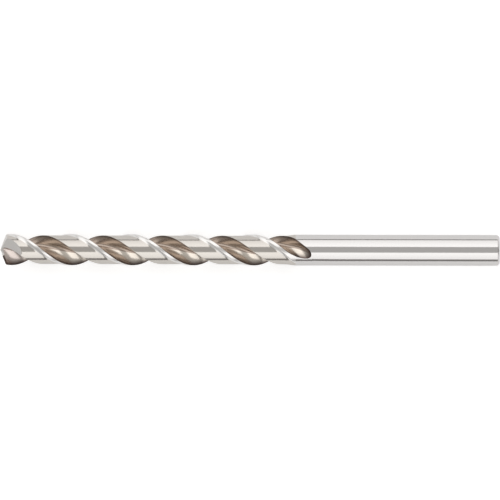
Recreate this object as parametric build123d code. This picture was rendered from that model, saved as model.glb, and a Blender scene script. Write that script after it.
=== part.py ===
"""Twist drill bit: jobber length, two right-hand helical flutes, split point.

The bit is ground from one round bar, and the source follows the grinding order:
the blank, the flutes, the body clearance behind each margin, the two flanks of
the point, and the gashes that split the chisel edge.

The work is done with the axis on Z, the apex at zero and the shank above it.
Angles are measured about Z from X, the direction of the first lip. The second
lip, flute and land are the first ones turned by half a turn. The finished bit
is laid along X, with the centre of its shank end at zero.
"""

import os
from math import asin, ceil, cos, degrees, pi, radians, sin, sqrt, tan

from build123d import *

# Bar (mm)
DIAMETER = 6.3               # over the margins at the point
SHANK_DIAMETER = 6.25        # the flutes taper back to this
OVERALL_LENGTH = 101.0
SHANK_CHAMFER = 0.4

# Flutes (mm, degrees)
FLUTE_LENGTH = 63.0          # apex to the last trace of the flutes
HELIX_ANGLE = 39.0
WEB = 1.2                    # web thickness at the point
WEB_TAPER = 0.009            # lift of the grinding wheel per mm of flute
TAPER_DIRECTION = 311.0      # the side of the section that the taper lifts towards
ROOT_RADIUS = 0.6            # hollow at the bottom of the flute
ROOT_TURN = 74.0             # angle that the hollow turns through
LOBE_RADIUS = 3.1            # rounded back of the land
LOBE_TURN = 31.0
RUN_OUT_LENGTH = 5.8         # over which the wheel leaves the bar
RUN_OUT_DIRECTION = 250.0    # the side of the section that the wheel leaves by
RUN_OUT_SLANT = 1.17         # it leaves aslant, by this many times the flute's depth

# Lands (mm, degrees)
MARGIN_WIDTH = 0.45          # full-diameter strip, measured square to the helix
CLEARANCE_DEPTH = 0.25       # from the margin down to the body
HOLLOW_WIDTH = 0.8           # hollow that leads down to the body, square to the helix
CLEARANCE_SPAN = 130.0       # from the leading edge into the next flute
CLEARANCE_SHORT = 3.5        # the clearance ends this far short of the flutes
CLEARANCE_RUN_OUT = 2.5

# Point (mm, degrees)
POINT_ANGLE = 135.0
RELIEF_ANGLE = 14.0
HEEL_SLOPE = 58.5            # fall of the heel facet from square to the axis
HEEL_DIRECTION = 109.0       # the way that the heel facet falls
HEEL_START = 0.45            # its plane meets the axis this far ahead of the apex
CHISEL_HALF = 0.1            # what the gash leaves of the web, each side of the axis
GASH_TURN = 19.0             # the gash wall, turned from the lip

# Derived
RADIUS = DIAMETER / 2
LEAD = pi * DIAMETER / tan(radians(HELIX_ANGLE))
TURN_PER_MM = 360 / LEAD
CLEARANCE_END = FLUTE_LENGTH - CLEARANCE_SHORT
LIP_RISE = 1 / tan(radians(POINT_ANGLE / 2))
RELIEF_RISE = tan(radians(RELIEF_ANGLE))
FLUTE_END_DEPTH = RADIUS - WEB / 2 - WEB_TAPER * FLUTE_LENGTH
OUTSIDE = 1.3 * RADIUS       # cutters reach this far from the axis
STEP = LEAD / 12             # between two sections of a cutter
START = -STEP                # cutters start a little ahead of the apex
RUN_OUT_STEPS = 6


def polar(radius, angle):
    """Point in the section plane."""
    return Vector(radius * cos(radians(angle)), radius * sin(radians(angle)))


def rake_angle(radius):
    """Angle of the rake face at a radius, in the section through the apex.

    The lip is a straight line at half the web from the axis. Each of its points
    is turned back along the helix to the apex, so that the flute gives that lip.
    """
    along_lip = sqrt(radius**2 - (WEB / 2) ** 2)
    height = along_lip * LIP_RISE - WEB / 2 * RELIEF_RISE
    return -degrees(asin(WEB / 2 / radius)) - height * TURN_PER_MM


def cubic(curve, spans):
    """A curve as one cubic spline, which makes a lighter cutter than an arc does."""
    points = [curve @ (i / spans) for i in range(spans + 1)]
    return Spline(*points, tangents=[curve % 0, curve % 1])


def helix_turn(width):
    """Turn about the axis over a width on the land, measured square to the helix."""
    return degrees(width / cos(radians(HELIX_ANGLE)) / RADIUS)


def flute_section():
    """Section of the flute ahead of the first lip: rake face, root and heel."""
    points = 6
    reach = OUTSIDE - WEB / 2
    radii = [WEB / 2 + reach * i / points for i in range(points + 1)]
    rake = Spline(*[polar(radius, rake_angle(radius)) for radius in radii])
    root = JernArc(rake @ 0, (-1, 0), ROOT_RADIUS, ROOT_TURN)
    lobe = JernArc(root @ 1, root % 1, LOBE_RADIUS, -LOBE_TURN)
    heel = Line(lobe @ 1, lobe @ 1 + (lobe % 1) * reach)
    outward = (rake @ 1 + heel @ 1).normalized()
    closing = Polyline(rake @ 1, outward * 1.5 * OUTSIDE, heel @ 1)
    return make_face([rake, cubic(root, 3), cubic(lobe, 2), heel, *closing.edges()])


def clearance_section():
    """Section ground away behind the first margin, with a hollow down to the body."""
    body_radius = RADIUS - CLEARANCE_DEPTH
    leading_edge = rake_angle(RADIUS)
    first = leading_edge + helix_turn(MARGIN_WIDTH)
    foot = first + helix_turn(HOLLOW_WIDTH)
    last = leading_edge + CLEARANCE_SPAN
    middle = (foot + last) / 2
    hollow = TangentArc(polar(body_radius, foot), polar(RADIUS, first), tangent=polar(1, foot - 90))
    rise = Line(hollow @ 1, hollow @ 1 + (hollow % 1) * OUTSIDE)
    floor = ThreePointArc(hollow @ 0, polar(body_radius, middle), polar(body_radius, last))
    end = Line(floor @ 1, polar(OUTSIDE, last))
    closing = Polyline(end @ 1, polar(2 * OUTSIDE, middle), rise @ 1)
    return make_face([cubic(hollow, 2), rise, cubic(floor, 6), end, *closing.edges()])


def cutter_heights(end, run_out):
    """Heights of a cutter's sections: even steps, then closer ones in its run-out."""
    straight = end - run_out - START
    count = ceil(straight / STEP)
    even = [START + straight * i / count for i in range(count)]
    return even + [end - run_out * (1 - i / RUN_OUT_STEPS) for i in range(RUN_OUT_STEPS + 1)]


def run_out_share(height, end, run_out):
    """Lift of the wheel in its run-out: none at the start, all of it at the end."""
    return max(0, 1 - (end - height) / run_out) ** 2


def flute_cutter():
    """The first flute as a solid: its section, turned and lifted along the axis."""
    section = flute_section()
    placed = []
    for height in cutter_heights(FLUTE_LENGTH, RUN_OUT_LENGTH):
        taper = polar(WEB_TAPER * height, TAPER_DIRECTION)
        leaving = run_out_share(height, FLUTE_LENGTH, RUN_OUT_LENGTH)
        lift = taper + polar(leaving * RUN_OUT_SLANT * FLUTE_END_DEPTH, RUN_OUT_DIRECTION)
        turn = Pos(0, 0, height) * Rot(0, 0, height * TURN_PER_MM)
        placed.append(turn * Pos(lift.X, lift.Y) * section)
    return loft(placed)


def clearance_cutter():
    """The first body clearance as a solid, which shallows out at its end."""
    section = clearance_section()
    deepening = RADIUS / (RADIUS - CLEARANCE_DEPTH) - 1
    placed = []
    for height in cutter_heights(CLEARANCE_END, CLEARANCE_RUN_OUT):
        grown = 1 + deepening * run_out_share(height, CLEARANCE_END, CLEARANCE_RUN_OUT)
        turn = Pos(0, 0, height) * Rot(0, 0, height * TURN_PER_MM)
        placed.append(turn * scale(section, (grown, grown, 1)))
    return loft(placed)


def gash_cutter():
    """Wedge between the heel facet and the gash wall, behind the first lip."""
    block = Box(4 * DIAMETER, 4 * DIAMETER, 4 * DIAMETER)
    fall = polar(sin(radians(HEEL_SLOPE)), HEEL_DIRECTION)
    facet = Plane((0, 0, -HEEL_START), z_dir=(fall.X, fall.Y, -cos(radians(HEEL_SLOPE))))
    wall = Plane((0, CHISEL_HALF), z_dir=polar(1, 90 - GASH_TURN))
    wedge = split(block, bisect_by=facet, keep=Keep.TOP)
    return split(wedge, bisect_by=wall, keep=Keep.TOP)


def blank():
    """Round bar, tapered back along the flutes, with a chamfered shank end."""
    shank_radius = SHANK_DIAMETER / 2
    outline = Polyline(
        (0, 0),
        (RADIUS, 0),
        (shank_radius, FLUTE_LENGTH),
        (shank_radius, OVERALL_LENGTH - SHANK_CHAMFER),
        (shank_radius - SHANK_CHAMFER, OVERALL_LENGTH),
        (0, OVERALL_LENGTH),
        close=True,
    )
    return revolve(Plane.XZ * make_face(outline), Axis.Z)


def grind_flanks(bit):
    """The two flanks, which meet in the chisel edge and leave the straight lips."""
    for side in (1, -1):
        uphill = Vector(-side * LIP_RISE, -side * RELIEF_RISE, 1)
        bit = split(bit, bisect_by=Plane((0, 0, 0), z_dir=uphill), keep=Keep.TOP)
    return bit


def drill_bit():
    """The finished bit, with its axis on Z and the apex at zero."""
    half_turn = Rot(0, 0, 180)
    bit = blank()
    for cutter in (flute_cutter(), clearance_cutter()):
        bit -= [cutter, half_turn * cutter]
    bit = grind_flanks(bit)
    gash = gash_cutter()
    return bit - [gash, half_turn * gash]


laid_down = Location(Plane((-OVERALL_LENGTH, 0, 0), x_dir=(0, 1, 0), z_dir=(1, 0, 0)))

os.makedirs("parts", exist_ok=True)
export_step(laid_down * drill_bit(), "parts/drill_bit.step")
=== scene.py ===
"""Finish of a jobber twist drill: polished lands and shank, ground margins, bronzed flutes.

The CAD mesh has flats that show in polished steel. Its place is taken by a skin
of the same shape, laid on the bit's own helix: each ring of the skin is one
section of the bit, turned along the helix. Lengths are in metres. A section has
its own two axes, u and v, which are +Y and +Z of the frame at the apex.
"""

from math import cos, hypot, pi, radians, sin, tan

import bpy
import numpy as np
from bpy.props import FloatProperty, FloatVectorProperty, PointerProperty
from bpy.types import Operator, Panel, PropertyGroup
from mathutils import Matrix, Vector


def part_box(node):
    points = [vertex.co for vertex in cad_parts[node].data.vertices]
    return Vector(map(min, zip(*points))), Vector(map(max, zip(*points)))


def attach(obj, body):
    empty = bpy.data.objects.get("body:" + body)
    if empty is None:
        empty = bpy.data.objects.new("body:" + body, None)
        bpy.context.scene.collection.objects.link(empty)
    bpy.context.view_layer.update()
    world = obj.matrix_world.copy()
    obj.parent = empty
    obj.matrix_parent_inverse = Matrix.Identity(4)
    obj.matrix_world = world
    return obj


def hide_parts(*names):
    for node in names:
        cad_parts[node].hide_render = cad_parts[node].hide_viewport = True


bl_info = {
    "name": "Twist drill bit",
    "version": (1, 0, 0),
    "blender": (4, 5, 0),
    "location": "View3D > Sidebar > Drill bit",
    "description": "Skin and finishes of a jobber twist drill, and its studio",
    "category": "Object",
}

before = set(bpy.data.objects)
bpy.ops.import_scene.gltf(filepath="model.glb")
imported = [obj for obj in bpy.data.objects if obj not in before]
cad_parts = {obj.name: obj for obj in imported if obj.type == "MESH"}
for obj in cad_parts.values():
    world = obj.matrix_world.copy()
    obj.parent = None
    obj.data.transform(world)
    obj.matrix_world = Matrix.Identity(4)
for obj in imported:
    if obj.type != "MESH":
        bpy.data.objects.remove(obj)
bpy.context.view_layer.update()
NODE = "drill_bit"
BIT_LOW, BIT_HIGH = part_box(NODE)
OVERALL_LENGTH = BIT_HIGH.x - BIT_LOW.x
APEX = Vector((BIT_LOW.x, 0, 0))
MM = 0.001


# Numbers of the skin's mesh


# Points of half a ring of the skin, in order from its leading edge: rounded
# corner, margin, hollow, body, the heel's rounded corner and flute.
CORNER, MARGIN, HOLLOW, BODY, FLUTE = 5, 5, 14, 34, 58
HALF_RING = CORNER + MARGIN + HOLLOW + BODY + CORNER + FLUTE
# The hollow's first points, which have the margin's ground finish.
GROUND_HOLLOW = 9
# Points of the flute's outline, on its heel, lobe, root and rake face.
HEEL_POINTS, LOBE_POINTS, ROOT_POINTS, RAKE_POINTS = 40, 60, 60, 80
# How far the outline's two ends run, in diameters, so that they end outside the bar.
OUTLINE_REACH = 0.65
# Rings along the flutes, then closer ones where they end, then the shank's.
RING_STEP = 0.25 * MM
FINE_LENGTH, FINE_RINGS = 3 * MM, 41
SHANK_RINGS = 8
# Each corner of the shank's chamfer is rounded over this share of the chamfer.
CHAMFER_SOFTENED = 0.15
MERGE_DISTANCE, CUT_TOLERANCE = 1e-6, 1e-7
SMOOTH_ANGLE = radians(32)


# Numbers of the finishes


# Each ground surface, as the number of its material on the bit.
SHANK, LAND, GROUND_MARGIN, RAKE, HEEL, GROUND_POINT = range(6)
# Heights nearer than this to the end of the flutes are at their end.
AT_END = 0.01 * MM
# A face lies in a ground plane if its centre is this near to the plane and the
# cosine between their normals, either way round, is more than this.
ON_PLANE, SAME_WAY = 0.5e-6, 0.999

SHANK_ROUGHNESS, LAND_ROUGHNESS, MARGIN_ROUGHNESS = 0.1, 0.14, 0.3
RAKE_ROUGHNESS, HEEL_ROUGHNESS, POINT_ROUGHNESS = 0.22, 0.25, 0.65
# Distances from the axis: painted shade, standing in for the shade and dark reflections at the
# flutes' edges, starts at the first on the rake and at the second on the heel, and is full from
# the third.
RAKE_EDGE_SHADE_START, HEEL_EDGE_SHADE_START, EDGE_SHADE_FULL = 2.0 * MM, 2.2 * MM, 3.1 * MM
# Distances behind a lip: the painted shade along the lip is full up to the first and gone from the
# second.
LIP_SHADE_FULL, LIP_SHADE_CLEAR = 0.15 * MM, 0.35 * MM
# Distances from the apex: the flutes have the paler tip colour up to the first and their own
# colour from the second.
TIP_COLOUR_UNTIL, FLUTE_COLOUR_FROM = 3 * MM, 7 * MM
# Sockets of a Mix node that mixes colours: factor, first colour, second colour, result.
MIX_FACTOR, MIX_FIRST, MIX_SECOND, MIX_RESULT = 0, 6, 7, 2


# Numbers of the studio


TABLE_SIZE = 6
# What the table glows with beyond the light on it: to the camera, where it then
# reads white, and in the steel.
TABLE_GLOW_SEEN, TABLE_GLOW_IN_STEEL = 0.55, 0.26
# The room's colours in the steel, at the horizon and overhead, and how steeply up the
# second begins, where 0 is level and 1 is straight up.
ROOM_LOW, ROOM_HIGH, ROOM_HIGH_LEVEL = "#7d7a78", "#c0bfbd", 0.9
# From the bit's axis to the middle of each soft light.
LIGHT_DISTANCE = 0.5
# The camera stands this far off and sees this much, in lengths of the bit.
CAMERA_DISTANCE, CAMERA_VIEW = 20, 1.0016
# In millimetres, as Blender has it.
SENSOR_WIDTH = 36


# Colours


def linear(hex_colour):
    """sRGB hex colour as linear red, green, blue and alpha."""
    channels = [int(hex_colour[i : i + 2], 16) / 255 for i in (1, 3, 5)]
    return [c / 12.92 if c <= 0.04045 else ((c + 0.055) / 1.055) ** 2.4 for c in channels] + [1]


# What a user would change


def length(name, description, default_mm):
    """A length, kept in metres."""
    return FloatProperty(
        name=name, description=description, default=default_mm * MM, unit="LENGTH", precision=5
    )


def angle(name, description, default_degrees):
    """An angle, kept in radians."""
    return FloatProperty(
        name=name, description=description, default=radians(default_degrees), subtype="ANGLE"
    )


def share(name, description, default):
    """A plain ratio."""
    return FloatProperty(name=name, description=description, default=default, subtype="FACTOR")


def colour(name, description, hex_colour):
    """A colour, kept linear."""
    return FloatVectorProperty(
        name=name, description=description, default=linear(hex_colour), subtype="COLOR", size=4
    )


class DrillSizes(PropertyGroup):
    """Sizes of the bit, the same as its solid's."""

    diameter: length("Diameter", "Over the margins at the point", 6.3)
    shank_diameter: length("Shank diameter", "Of the plain shank", 6.25)
    shank_chamfer: length("Shank chamfer", "At the end of the shank", 0.4)
    flute_length: length("Flute length", "Apex to the last trace of the flutes", 63)
    helix_angle: angle("Helix angle", "Of the flutes, from the axis", 39)
    web: length("Web", "Thickness between the flutes at the point", 1.2)
    web_taper: share("Web taper", "Lift of the grinding wheel along the flute", 0.009)
    taper_direction: angle("Taper direction", "Side that the wheel lifts towards", 131)
    root_radius: length("Root radius", "Hollow at the bottom of the flute", 0.6)
    root_turn: angle("Root turn", "Angle that the hollow turns through", 74)
    lobe_radius: length("Lobe radius", "Rounded back of the land", 3.1)
    lobe_turn: angle("Lobe turn", "Angle that the back turns through", 31)
    run_out_length: length("Run-out", "Over which the wheel leaves the bar", 5.8)
    run_out_direction: angle("Run-out direction", "Side that the wheel leaves by", 70)
    run_out_slant: share("Run-out slant", "Way of the wheel, by the flute's depth", 1.17)
    margin_width: length("Margin width", "Square to the helix", 0.45)
    clearance_depth: length("Clearance", "From the margin down to the body", 0.25)
    hollow_width: length("Hollow width", "The hollow down to the body, square to the helix", 0.8)
    clearance_end: length("Clearance end", "Apex to the end of the clearance", 59.5)
    clearance_run_out: length("Clearance run-out", "Over which it ends", 2.5)
    point_angle: angle("Point angle", "Between the lips", 135)
    relief_angle: angle("Relief", "Fall of the flank behind the lip", 14)
    heel_slope: angle("Heel slope", "Fall of the heel facet", 58.5)
    heel_direction: angle("Heel direction", "The way that the heel facet falls", 109)
    heel_start: length("Heel start", "Its plane meets the axis this far ahead", 0.45)
    chisel_half: length("Half chisel", "What the gash leaves of the web", 0.1)
    gash_turn: angle("Gash turn", "The gash wall, turned from the lip", 19)
    edge_radius: length("Edge rounding", "On the long edges of the lands", 0.03)


class DrillStudio(PropertyGroup):
    """Where the studio stands round the bit."""

    roll: angle("Roll", "Turn of the studio about the bit, as if the bit rolled on the table", 7.2)
    tilt: angle("Tilt", "Turn of the camera about its line of sight", 0.1)


class DrillFinishes(PropertyGroup):
    """Colours of the bit's surfaces and of the table."""

    steel: colour("Shank steel", "Polished high-speed steel of the shank", "#dbd9d8")
    land: colour("Land steel", "Ground and polished steel of the lands", "#cfcac4")
    # The bronze film is real. The rake's paler colour is a painted highlight and the heel's
    # browner colour is painted shade.
    rake: colour("Rake film", "Pale bronze film on the rake faces", "#e6ddd2")
    heel: colour("Heel film", "Brown film up the backs of the lands", "#b0a195")
    # Painted shade at the flutes' edges and behind the lips, not a darker film.
    edge: colour("Flute edge", "Film where it is darkest, at the edges of the flutes", "#62554f")
    # Paler colour that the flutes fade to near the tip.
    tip: colour("Flute tip", "Nearly bare steel of the flutes at the tip", "#d6cac4")
    point: colour("Point", "Freshly ground steel of the point", "#eceae8")
    table: colour("Table", "Matt white table", "#e8e8e8")


# Section of the bit


def polar(radius, turn):
    """Points at these radii and angles, as an array of u, v."""
    return np.stack([radius * np.cos(turn), radius * np.sin(turn)], axis=-1)


def turn_rate(sizes):
    """Turn of the section per metre along the axis."""
    return 2 * tan(sizes.helix_angle) / sizes.diameter


def lip_rise(sizes):
    """How far back the lips fall per metre from the axis."""
    return 1 / tan(sizes.point_angle / 2)


def rake_angle(sizes, radius):
    """Angle of the first land's rake face in the section through the apex.

    The lip is straight, at half the web from the axis, and each of its points
    is turned back along the helix to the apex.
    """
    half_web = sizes.web / 2
    along_lip = np.sqrt(np.maximum(radius**2 - half_web**2, 0))
    height = along_lip / tan(sizes.point_angle / 2) - half_web * tan(sizes.relief_angle)
    return -np.arcsin(half_web / radius) - height * turn_rate(sizes)


def flute_outline(sizes):
    """Close points on the flute past the first land: heel, lobe, root, rake face."""
    half_web = sizes.web / 2
    outside = OUTLINE_REACH * sizes.diameter
    root_turns = np.linspace(0, sizes.root_turn, ROOT_POINTS)
    root = np.array([0, half_web + sizes.root_radius]) + polar(
        sizes.root_radius, root_turns - pi / 2
    )
    lobe_turns = np.linspace(sizes.root_turn, sizes.root_turn - sizes.lobe_turn, LOBE_POINTS)
    lobe_centre = root[-1] + polar(sizes.lobe_radius, sizes.root_turn - pi / 2)
    lobe = lobe_centre + polar(sizes.lobe_radius, lobe_turns + pi / 2)
    heel = lobe[-1] + np.outer(np.linspace(0, outside, HEEL_POINTS), polar(1, lobe_turns[-1]))
    radii = np.linspace(half_web, outside, RAKE_POINTS)
    rake = polar(radii, pi + rake_angle(sizes, radii))
    return np.concatenate([heel[:0:-1], lobe[:0:-1], root[:0:-1], rake])


def run_out_share(height, end, run_out):
    """Lift in a run-out: none at its start, all of it at its end."""
    return max(0, 1 - (end - height) / run_out) ** 2


def flute_lift(sizes, height):
    """How far the web taper and the run-out have moved the flute at a height."""
    depth = sizes.diameter / 2 - sizes.web / 2 - sizes.web_taper * sizes.flute_length
    leaving = run_out_share(height, sizes.flute_length, sizes.run_out_length)
    return polar(sizes.web_taper * height, sizes.taper_direction) + polar(
        leaving * sizes.run_out_slant * depth, sizes.run_out_direction
    )


def resample(points, count, margin):
    """Points spaced evenly along a line, starting and ending a margin inside it."""
    steps = np.hypot(*np.diff(points, axis=0).T)
    along = np.concatenate([[0], np.cumsum(steps)])
    wanted = np.linspace(margin, along[-1] - margin, count)
    return np.stack([np.interp(wanted, along, points[:, i]) for i in (0, 1)], axis=1)


def crossing(outline, radii, index, wanted):
    """Point between index and index + 1 of an outline where it has the wanted radius."""
    low, high = radii[index], radii[index + 1]
    part = 0.5 if low == high else (wanted - low) / (high - low)
    return outline[index] + np.clip(part, 0, 1) * (outline[index + 1] - outline[index])


def flute_between_edges(outline, heel_radius, margin_radius):
    """The stretch of the flute's outline that is inside the bar, with its two edges.

    Past the end of the flute it has shrunk to the one point that is nearest.
    """
    radii = np.hypot(*outline.T)
    if radii.min() >= margin_radius:
        nearest = outline[radii.argmin()]
        return np.repeat(nearest[None] * margin_radius / np.hypot(*nearest), 3, axis=0)
    inside_heel = np.flatnonzero(radii < heel_radius)
    inside_rake = np.flatnonzero(radii < margin_radius)
    first, last = inside_heel[0], inside_rake[-1]
    heel_edge = crossing(outline, radii, first - 1, heel_radius)
    rake_edge = crossing(outline, radii, last, margin_radius)
    return np.concatenate([[heel_edge], outline[first : last + 1], [rake_edge]])


def rounded(before, corner, after, count):
    """Points round a corner, from the point before it to the point after it."""
    t = np.linspace(0, 1, count)[:, None]
    return (1 - t) ** 2 * before + 2 * t * (1 - t) * corner + t**2 * after


def hollow_points(radius, crest, body_radius, foot, count):
    """Arc from a margin's crest down to the body, which it meets smoothly."""
    start, end = polar(body_radius, foot), polar(radius, crest)
    outward, back = polar(1, foot), polar(1, foot - pi / 2)
    chord = end - start
    hollow_radius = chord @ chord / (2 * chord @ outward)
    turns = np.linspace(np.arcsin(chord @ back / hollow_radius), 0, count)[:, None]
    return start + hollow_radius * ((1 - np.cos(turns)) * outward + np.sin(turns) * back)


def half_section(sizes, outline, height):
    """Half of the bit's section at a height, in the order of the points of half a ring.

    The clearance grows back to the bar's radius where it ends, but never past it.
    """
    at_end = min(height / sizes.flute_length, 1)
    bar_radius = (sizes.diameter * (1 - at_end) + sizes.shank_diameter * at_end) / 2
    radius = sizes.diameter / 2
    full_depth = radius - sizes.clearance_depth
    filled = run_out_share(height, sizes.clearance_end, sizes.clearance_run_out)
    grown = 1 + (radius / full_depth - 1) * filled
    body_radius = min(full_depth * grown, bar_radius)
    lifted = outline + flute_lift(sizes, height)
    flute = flute_between_edges(lifted, body_radius, bar_radius)

    flute_length = np.hypot(*np.diff(flute, axis=0).T).sum()
    # Where the flute runs out its edges' rounding shrinks with it.
    edge = min(sizes.edge_radius, flute_length / 4)
    heel, leading = flute[0], -flute[-1]
    inner_flute = resample(flute, FLUTE + 2, edge)
    leading_turn = np.arctan2(leading[1], leading[0])
    heel_turn = np.arctan2(heel[1], heel[0])

    land_turn = 1 / cos(sizes.helix_angle) / radius
    crest = rake_angle(sizes, radius) + sizes.margin_width * land_turn
    foot = crest + sizes.hollow_width * land_turn
    first = leading_turn + edge / bar_radius
    last = heel_turn - edge / body_radius
    margin = polar(bar_radius, np.linspace(first, crest, MARGIN + 2)[1:-1])
    hollow = hollow_points(radius, crest, full_depth, foot, HOLLOW) * grown
    hollow *= np.minimum(bar_radius / np.hypot(*hollow.T), 1)[:, None]
    body = polar(body_radius, np.linspace(foot, last, BODY + 2)[1:-1])
    leading_corner = rounded(-inner_flute[-1], leading, polar(bar_radius, first), CORNER)
    heel_corner = rounded(polar(body_radius, last), heel, inner_flute[0], CORNER)
    return np.concatenate(
        [leading_corner, margin, hollow, body, heel_corner, inner_flute[1:-1]]
    )


def rings(sizes):
    """Heights and radial shares of the skin's rings, from ahead of the apex to the shank end."""
    fluted = np.arange(-RING_STEP, sizes.flute_length - FINE_LENGTH, RING_STEP)
    run_out = np.linspace(sizes.flute_length - FINE_LENGTH, sizes.flute_length, FINE_RINGS)
    shank_end = OVERALL_LENGTH - 2 * sizes.shank_chamfer
    shank = np.linspace(sizes.flute_length, shank_end, SHANK_RINGS)[1:]
    heights = np.concatenate([fluted, run_out, shank])
    size, radius = sizes.shank_chamfer, sizes.shank_diameter / 2
    soft = CHAMFER_SOFTENED * size
    chamfer = np.array([(OVERALL_LENGTH - size, radius), (OVERALL_LENGTH, radius - size)])
    along = (chamfer[1] - chamfer[0]) / hypot(*(chamfer[1] - chamfer[0]))
    outer = rounded(chamfer[0] - (soft, 0), chamfer[0], chamfer[0] + soft * along, CORNER)
    inner = rounded(chamfer[1] - soft * along, chamfer[1], chamfer[1] - (0, soft), CORNER)
    turned = np.concatenate([outer, inner])
    all_heights = np.concatenate([heights, turned[:, 0]])
    radial = np.concatenate([np.ones(len(heights)), turned[:, 1] / radius])
    return all_heights, radial


def skin_points(sizes):
    """Every point of the skin, ring by ring, in the row's frame."""
    outline = flute_outline(sizes)
    placed = []
    for height, radial in zip(*rings(sizes)):
        half = half_section(sizes, outline, min(height, sizes.flute_length))
        section = np.concatenate([half, -half]) * radial
        turn = turn_rate(sizes) * min(height, sizes.flute_length)
        u = section[:, 0] * cos(turn) - section[:, 1] * sin(turn)
        v = section[:, 0] * sin(turn) + section[:, 1] * cos(turn)
        placed.append(np.stack([np.full(len(u), APEX.x + height), u, v], axis=1))
    return np.array(placed)


# Mesh operators


def pick(piece):
    """Select one object alone and make it active."""
    bpy.ops.object.select_all(action="DESELECT")
    piece.select_set(True)
    bpy.context.view_layer.objects.active = piece


def edit(piece):
    """Start editing a mesh object, with everything in it selected."""
    pick(piece)
    bpy.ops.object.mode_set(mode="EDIT")
    bpy.ops.mesh.select_all(action="SELECT")


def cut_off(point, normal):
    """Cut the mesh being edited at a plane, drop what is behind it and close the cut."""
    bpy.ops.mesh.select_all(action="SELECT")
    bpy.ops.mesh.bisect(
        plane_co=point,
        plane_no=normal,
        clear_inner=True,
        use_fill=True,
        threshold=CUT_TOLERANCE,
    )


def lip_planes(sizes):
    """Each of the two flanks: a point on it and its normal, into the bit."""
    rise, fall = lip_rise(sizes), tan(sizes.relief_angle)
    return [(APEX, Vector((1, -side * rise, -side * fall)).normalized()) for side in (1, -1)]


def gash_planes(sizes):
    """The first gash's heel facet and its wall: a point on each and its normal.

    The normals point out of the bit, into the wedge that the gash takes off.
    """
    slope, way = sizes.heel_slope, sizes.heel_direction
    facet = Vector((-cos(slope), sin(slope) * cos(way), sin(slope) * sin(way)))
    wall = Vector((0, sin(sizes.gash_turn), cos(sizes.gash_turn)))
    return [
        (APEX - Vector((sizes.heel_start, 0, 0)), facet),
        (APEX + Vector((0, 0, sizes.chisel_half)), wall),
    ]


def half_turned(planes):
    """The same planes for the second lip."""
    turn = Matrix.Rotation(pi, 3, "X")
    return [(turn @ point, turn @ normal) for point, normal in planes]


def grind_gash(piece, planes):
    """Take the wedge between two planes off the bit."""
    bpy.ops.mesh.primitive_cube_add(size=4 * BIT_HIGH.z, location=APEX)
    wedge = bpy.context.object
    edit(wedge)
    for point, normal in planes:
        cut_off(point, normal)
    bpy.ops.object.mode_set(mode="OBJECT")
    pick(piece)
    bpy.ops.object.modifier_add(type="BOOLEAN")
    gash = piece.modifiers[-1]
    gash.operation, gash.solver, gash.object = "DIFFERENCE", "EXACT", wedge
    bpy.ops.object.modifier_apply(modifier=gash.name)
    pick(wedge)
    bpy.ops.object.delete()


def wrap_grid(points):
    """A grid primitive laid on the points, ring by ring, so that its sides meet.

    It comes with the row and the column of each of its vertices.
    """
    rows, columns = points.shape[:2]
    bpy.ops.mesh.primitive_grid_add(
        x_subdivisions=columns, y_subdivisions=rows - 1, size=2, location=(0, 0, 0)
    )
    piece = bpy.context.object
    flat = np.empty(len(piece.data.vertices) * 3)
    piece.data.vertices.foreach_get("co", flat)
    place = flat.reshape(-1, 3)
    # The grid runs from -1 to 1 both ways.
    column = np.rint((place[:, 0] + 1) / 2 * columns).astype(int) % columns
    row = np.rint((place[:, 1] + 1) / 2 * (rows - 1)).astype(int)
    piece.data.vertices.foreach_set("co", points[row, column].ravel())
    return piece, row, column


def surface_of(row, column, heights, sizes):
    """Which finish each face gets, by its place in the grid."""
    place = column % HALF_RING
    shank = heights[row] > sizes.clearance_end
    ground = place < CORNER + MARGIN + GROUND_HOLLOW
    flute = place >= HALF_RING - FLUTE - 1
    rake = place >= HALF_RING - FLUTE / 2
    lands = np.where(shank, SHANK, np.where(ground, GROUND_MARGIN, LAND))
    past_flute = heights[row] > sizes.flute_length - AT_END
    return np.where(flute & ~past_flute, np.where(rake, RAKE, HEEL), lands)


def finish_grid(piece, row, column, sizes):
    """Give each face of the grid its finish."""
    corners = np.empty(len(piece.data.loops), int)
    piece.data.loops.foreach_get("vertex_index", corners)
    corners = corners.reshape(-1, 4)
    columns = column[corners]
    # A face between the last column and the first one belongs to the last.
    wraps = columns.max(1) - columns.min(1) > 1
    face_column = np.where(wraps, columns.max(1), columns.min(1))
    heights, _ = rings(sizes)
    finish = surface_of(row[corners].min(1), face_column, heights, sizes)
    piece.data.polygons.foreach_set("material_index", finish.astype(int))


def close_up(piece, flanks):
    """Join the grid's sides, close its ends, turn its faces outwards and cut the flanks."""
    edit(piece)
    bpy.ops.mesh.remove_doubles(threshold=MERGE_DISTANCE)
    bpy.ops.mesh.select_all(action="SELECT")
    bpy.ops.mesh.fill_holes(sides=0)
    bpy.ops.mesh.select_all(action="SELECT")
    bpy.ops.mesh.normals_make_consistent(inside=False)
    for point, normal in flanks:
        cut_off(point, normal)
    bpy.ops.object.mode_set(mode="OBJECT")


def finish_point(piece, planes):
    """Give the faces that lie in these planes the point's ground finish."""
    for face in piece.data.polygons:
        for point, normal in planes:
            near = abs((face.center - point).dot(normal)) < ON_PLANE
            if near and abs(face.normal.dot(normal)) > SAME_WAY:
                face.material_index = GROUND_POINT


# Materials


def add_node(tree, kind, settings=None, links=None):
    """A node with its settings and the sockets that feed it."""
    node = tree.nodes.new(kind)
    for name, value in (settings or {}).items():
        if isinstance(name, int) or name in node.inputs:
            node.inputs[name].default_value = value
        else:
            setattr(node, name, value)
    for name, source in (links or {}).items():
        tree.links.new(source, node.inputs[name])
    return node


def steel_material(name, base_colour, roughness):
    """Bare tool steel at one degree of finish."""
    material = bpy.data.materials.new(name)
    material.use_nodes = True
    shader = material.node_tree.nodes["Principled BSDF"]
    shader.inputs["Base Color"].default_value = base_colour
    shader.inputs["Metallic"].default_value = 1
    shader.inputs["Roughness"].default_value = roughness
    return material


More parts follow.
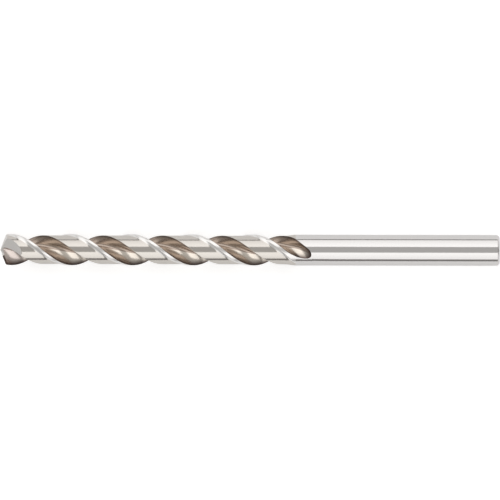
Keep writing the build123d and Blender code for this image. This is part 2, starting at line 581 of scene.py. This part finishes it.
def film_with_painted_shade_material(name, film, finishes, rise, edge_shade_start, roughness):
    """Bronzed steel of a flute, with painted shade towards its edges and behind the lips, and a
    paler colour at the tip.

    The colour of the film and of its painted shade goes by the distance from the axis, the
    distance behind the lips, whose fall back from the axis is the rise, and the distance along the
    bit.
    """
    film, edge, tip = (list(shade) for shade in (film, finishes.edge, finishes.tip))
    material = steel_material(name, film, roughness)
    tree = material.node_tree
    place = add_node(tree, "ShaderNodeTexCoord").outputs["Object"]
    section = add_node(
        tree, "ShaderNodeVectorMath", {"operation": "MULTIPLY", 1: (0, 1, 1)}, {0: place}
    )
    radius = add_node(
        tree, "ShaderNodeVectorMath", {"operation": "LENGTH"}, {0: section.outputs["Vector"]}
    )
    # Painted shade: the flute's colour darkens towards its edges, where shade and dark reflections
    # fall.
    outer = add_node(
        tree,
        "ShaderNodeMapRange",
        {"interpolation_type": "SMOOTHSTEP", "From Min": edge_shade_start, "From Max": EDGE_SHADE_FULL},
        {"Value": radius.outputs["Value"]},
    )
    along = add_node(tree, "ShaderNodeSeparateXYZ", {}, {"Vector": place})
    # Painted shade along the lips, darkest just behind them.
    behind_lip = add_node(
        tree,
        "ShaderNodeMath",
        {"operation": "MULTIPLY_ADD", 1: -rise},
        {0: radius.outputs["Value"], 2: along.outputs["X"]},
    )
    lip = add_node(
        tree,
        "ShaderNodeMapRange",
        {"From Min": APEX.x + LIP_SHADE_CLEAR, "From Max": APEX.x + LIP_SHADE_FULL},
        {"Value": behind_lip.outputs[0]},
    )
    # The painted shade takes the larger of the edge shade and the lip shade.
    dark = add_node(
        tree,
        "ShaderNodeMath",
        {"operation": "MAXIMUM"},
        {0: outer.outputs["Result"], 1: lip.outputs["Result"]},
    )
    # The flutes fade to the paler tip colour near the apex.
    away_from_tip = add_node(
        tree,
        "ShaderNodeMapRange",
        {
            "interpolation_type": "SMOOTHSTEP",
            "From Min": APEX.x + TIP_COLOUR_UNTIL,
            "From Max": APEX.x + FLUTE_COLOUR_FROM,
        },
        {"Value": along.outputs["X"]},
    )
    flute_or_tip_colour = add_node(
        tree,
        "ShaderNodeMix",
        {"data_type": "RGBA", MIX_FIRST: tip, MIX_SECOND: film},
        {MIX_FACTOR: away_from_tip.outputs["Result"]},
    )
    # Mixes the painted shade into the flute's colour.
    with_painted_edge_shade = add_node(
        tree,
        "ShaderNodeMix",
        {"data_type": "RGBA", MIX_SECOND: edge},
        {MIX_FACTOR: dark.outputs[0], MIX_FIRST: flute_or_tip_colour.outputs[MIX_RESULT]},
    )
    shader = tree.nodes["Principled BSDF"]
    tree.links.new(with_painted_edge_shade.outputs[MIX_RESULT], shader.inputs["Base Color"])
    return material


def bit_materials(sizes, finishes):
    """The bit's materials, in the order of the finishes' numbers."""
    steel, land, point = (
        list(shade) for shade in (finishes.steel, finishes.land, finishes.point)
    )
    rise = lip_rise(sizes)
    return [
        # Bright shank: the lights and the table lie in it as sharp lengthwise bands.
        steel_material("Polished tool steel, shank", steel, SHANK_ROUGHNESS),
        # Body of the land: the same bands, a little softer and warmer.
        steel_material("Polished tool steel, land", land, LAND_ROUGHNESS),
        # Margin and its hollow: a whitish satin strip that follows the edge.
        steel_material("Ground tool steel, margin", point, MARGIN_ROUGHNESS),
        # Flutes: a thin tempering film, painted paler on the rake as a highlight and browner on
        # the back as shade, with painted shade at its edges.
        film_with_painted_shade_material(
            "Bronzed tool steel, rake, painted highlight",
            finishes.rake,
            finishes,
            rise,
            RAKE_EDGE_SHADE_START,
            RAKE_ROUGHNESS,
        ),
        film_with_painted_shade_material(
            "Bronzed tool steel, heel, painted shade",
            finishes.heel,
            finishes,
            rise,
            HEEL_EDGE_SHADE_START,
            HEEL_ROUGHNESS,
        ),
        # Point: fine grinding lines too small to see, an even light grey.
        steel_material("Ground tool steel, point", point, POINT_ROUGHNESS),
    ]


# The bit


class DRILL_OT_bit(Operator):
    """Build the bit's skin and give each ground surface its finish"""

    bl_idname = "drill.bit"
    bl_label = "Drill bit"

    def execute(self, context):
        sizes, finishes = context.scene.drill_sizes, context.scene.drill_finishes
        piece, row, column = wrap_grid(skin_points(sizes))
        piece.name = "drill_bit_skin"
        finish_grid(piece, row, column, sizes)
        flanks, gash = lip_planes(sizes), gash_planes(sizes)
        second_gash = half_turned(gash)
        close_up(piece, flanks)
        grind_gash(piece, gash)
        grind_gash(piece, second_gash)
        finish_point(piece, flanks + gash + second_gash)
        pick(piece)
        bpy.ops.object.shade_smooth_by_angle(angle=SMOOTH_ANGLE)
        for material in bit_materials(sizes, finishes):
            piece.data.materials.append(material)
        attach(piece, "root")
        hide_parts(NODE)
        return {"FINISHED"}


# The studio


def turn_studio(context):
    """Turn what was added last about the bit's axis, with the rest of the studio."""
    piece = context.object
    context.view_layer.update()
    piece.matrix_world = (
        Matrix.Rotation(context.scene.drill_studio.roll, 4, "X") @ piece.matrix_world
    )


def add_softbox(context, name, side, low, high, start, end, radiance):
    """A long soft light beside the bit, between two heights in degrees above the table.

    It runs along X from start to end, in metres from the middle of the bit.
    """
    middle = radians((low + high) / 2)
    width = 2 * LIGHT_DISTANCE * tan(radians((high - low) / 2))
    away = Vector((0, side * cos(middle), sin(middle)))
    place = Vector((APEX.x / 2 + (start + end) / 2, 0, 0)) + LIGHT_DISTANCE * away
    turn = Matrix(((1, 0, 0), away.cross((1, 0, 0)), away)).transposed()
    bpy.ops.object.light_add(type="AREA", location=place, rotation=turn.to_euler())
    lamp = context.object
    lamp.name = name
    lamp.data.shape = "RECTANGLE"
    lamp.data.size = end - start
    lamp.data.size_y = width
    # The power of a flat lamp is its radiance times pi times its area.
    lamp.data.energy = radiance * pi * (end - start) * width
    lamp.visible_camera = False
    turn_studio(context)


def add_table(context):
    """White table under the bit, white to the camera and brighter in the steel."""
    bpy.ops.mesh.primitive_plane_add(size=TABLE_SIZE, location=(APEX.x / 2, 0, BIT_LOW.z))
    table = context.object
    table.name = "table"
    material = bpy.data.materials.new("Matt white laminate")
    material.use_nodes = True
    tree = material.node_tree
    tree.nodes.clear()
    path = add_node(tree, "ShaderNodeLightPath")
    board = add_node(
        tree, "ShaderNodeBsdfDiffuse", {"Color": list(context.scene.drill_finishes.table)}
    )
    seen_glow = add_node(
        tree,
        "ShaderNodeMath",
        {"operation": "MULTIPLY", 1: TABLE_GLOW_SEEN},
        {0: path.outputs["Is Camera Ray"]},
    )
    all_glow = add_node(
        tree,
        "ShaderNodeMath",
        {"operation": "MULTIPLY_ADD", 1: TABLE_GLOW_IN_STEEL},
        {0: path.outputs["Is Glossy Ray"], 2: seen_glow.outputs[0]},
    )
    glow = add_node(tree, "ShaderNodeEmission", {}, {"Strength": all_glow.outputs[0]})
    both = add_node(
        tree, "ShaderNodeAddShader", {}, {0: board.outputs[0], 1: glow.outputs[0]}
    )
    add_node(tree, "ShaderNodeOutputMaterial", {}, {"Surface": both.outputs[0]})
    table.data.materials.append(material)
    turn_studio(context)


def add_room(context):
    """World: dark at the horizon and grey overhead in the steel, white behind the table."""
    world = bpy.data.worlds.new("Studio")
    context.scene.world = world
    world.use_nodes = True
    tree = world.node_tree
    tree.nodes.clear()
    way = add_node(tree, "ShaderNodeTexCoord")
    level = add_node(
        tree,
        "ShaderNodeMapping",
        {"Rotation": (-context.scene.drill_studio.roll, 0, 0)},
        {"Vector": way.outputs["Generated"]},
    )
    split = add_node(tree, "ShaderNodeSeparateXYZ", {}, {"Vector": level.outputs["Vector"]})
    ramp = add_node(tree, "ShaderNodeValToRGB", {}, {"Fac": split.outputs["Z"]})
    low, high = ramp.color_ramp.elements
    low.position, low.color = 0, linear(ROOM_LOW)
    high.position, high.color = ROOM_HIGH_LEVEL, linear(ROOM_HIGH)
    room = add_node(tree, "ShaderNodeBackground", {}, {"Color": ramp.outputs["Color"]})
    white = add_node(tree, "ShaderNodeBackground", {"Color": (1, 1, 1, 1)})
    path = add_node(tree, "ShaderNodeLightPath")
    seen = add_node(
        tree,
        "ShaderNodeMixShader",
        {},
        {0: path.outputs["Is Camera Ray"], 1: room.outputs[0], 2: white.outputs[0]},
    )
    add_node(tree, "ShaderNodeOutputWorld", {}, {"Surface": seen.outputs[0]})


class DRILL_OT_stage(Operator):
    """Lay the white table, light the room, hang the two soft lights and set the camera"""

    bl_idname = "drill.stage"
    bl_label = "Studio"

    def execute(self, context):
        add_table(context)
        add_room(context)
        add_softbox(
            context,
            "Soft light, far side",
            side=1,
            low=8,
            high=65,
            start=-0.63,
            end=0.28,
            radiance=0.86,
        )
        add_softbox(
            context,
            "Soft light, near side",
            side=-1,
            low=18,
            high=72,
            start=-0.18,
            end=0.46,
            radiance=0.82,
        )
        distance = CAMERA_DISTANCE * OVERALL_LENGTH
        bpy.ops.object.camera_add(
            location=(APEX.x / 2, 0, distance), rotation=(0, 0, context.scene.drill_studio.tilt)
        )
        turn_studio(context)
        camera = context.object
        camera.data.sensor_fit = "HORIZONTAL"
        camera.data.sensor_width = SENSOR_WIDTH
        camera.data.lens = SENSOR_WIDTH * distance / (CAMERA_VIEW * OVERALL_LENGTH)
        context.scene.camera = camera
        context.scene.view_settings.view_transform = "Standard"
        return {"FINISHED"}


class DRILL_PT_panel(Panel):
    """Sizes, finishes and the two build steps"""

    bl_label = "Drill bit"
    bl_space_type = "VIEW_3D"
    bl_region_type = "UI"
    bl_category = "Drill bit"

    def draw(self, context):
        for group in (
            context.scene.drill_sizes,
            context.scene.drill_finishes,
            context.scene.drill_studio,
        ):
            for name in group.bl_rna.properties.keys():
                if name not in ("rna_type", "name"):
                    self.layout.prop(group, name)
        self.layout.operator("drill.bit")
        self.layout.operator("drill.stage")


CLASSES = (DrillSizes, DrillFinishes, DrillStudio, DRILL_OT_bit, DRILL_OT_stage, DRILL_PT_panel)


def register():
    for cls in CLASSES:
        bpy.utils.register_class(cls)
    bpy.types.Scene.drill_sizes = PointerProperty(type=DrillSizes)
    bpy.types.Scene.drill_finishes = PointerProperty(type=DrillFinishes)
    bpy.types.Scene.drill_studio = PointerProperty(type=DrillStudio)


def unregister():
    del bpy.types.Scene.drill_studio
    del bpy.types.Scene.drill_finishes
    del bpy.types.Scene.drill_sizes
    for cls in reversed(CLASSES):
        bpy.utils.unregister_class(cls)


def main():
    register()
    bpy.ops.drill.bit()
    bpy.ops.drill.stage()


if __name__ == "__main__":
    main()
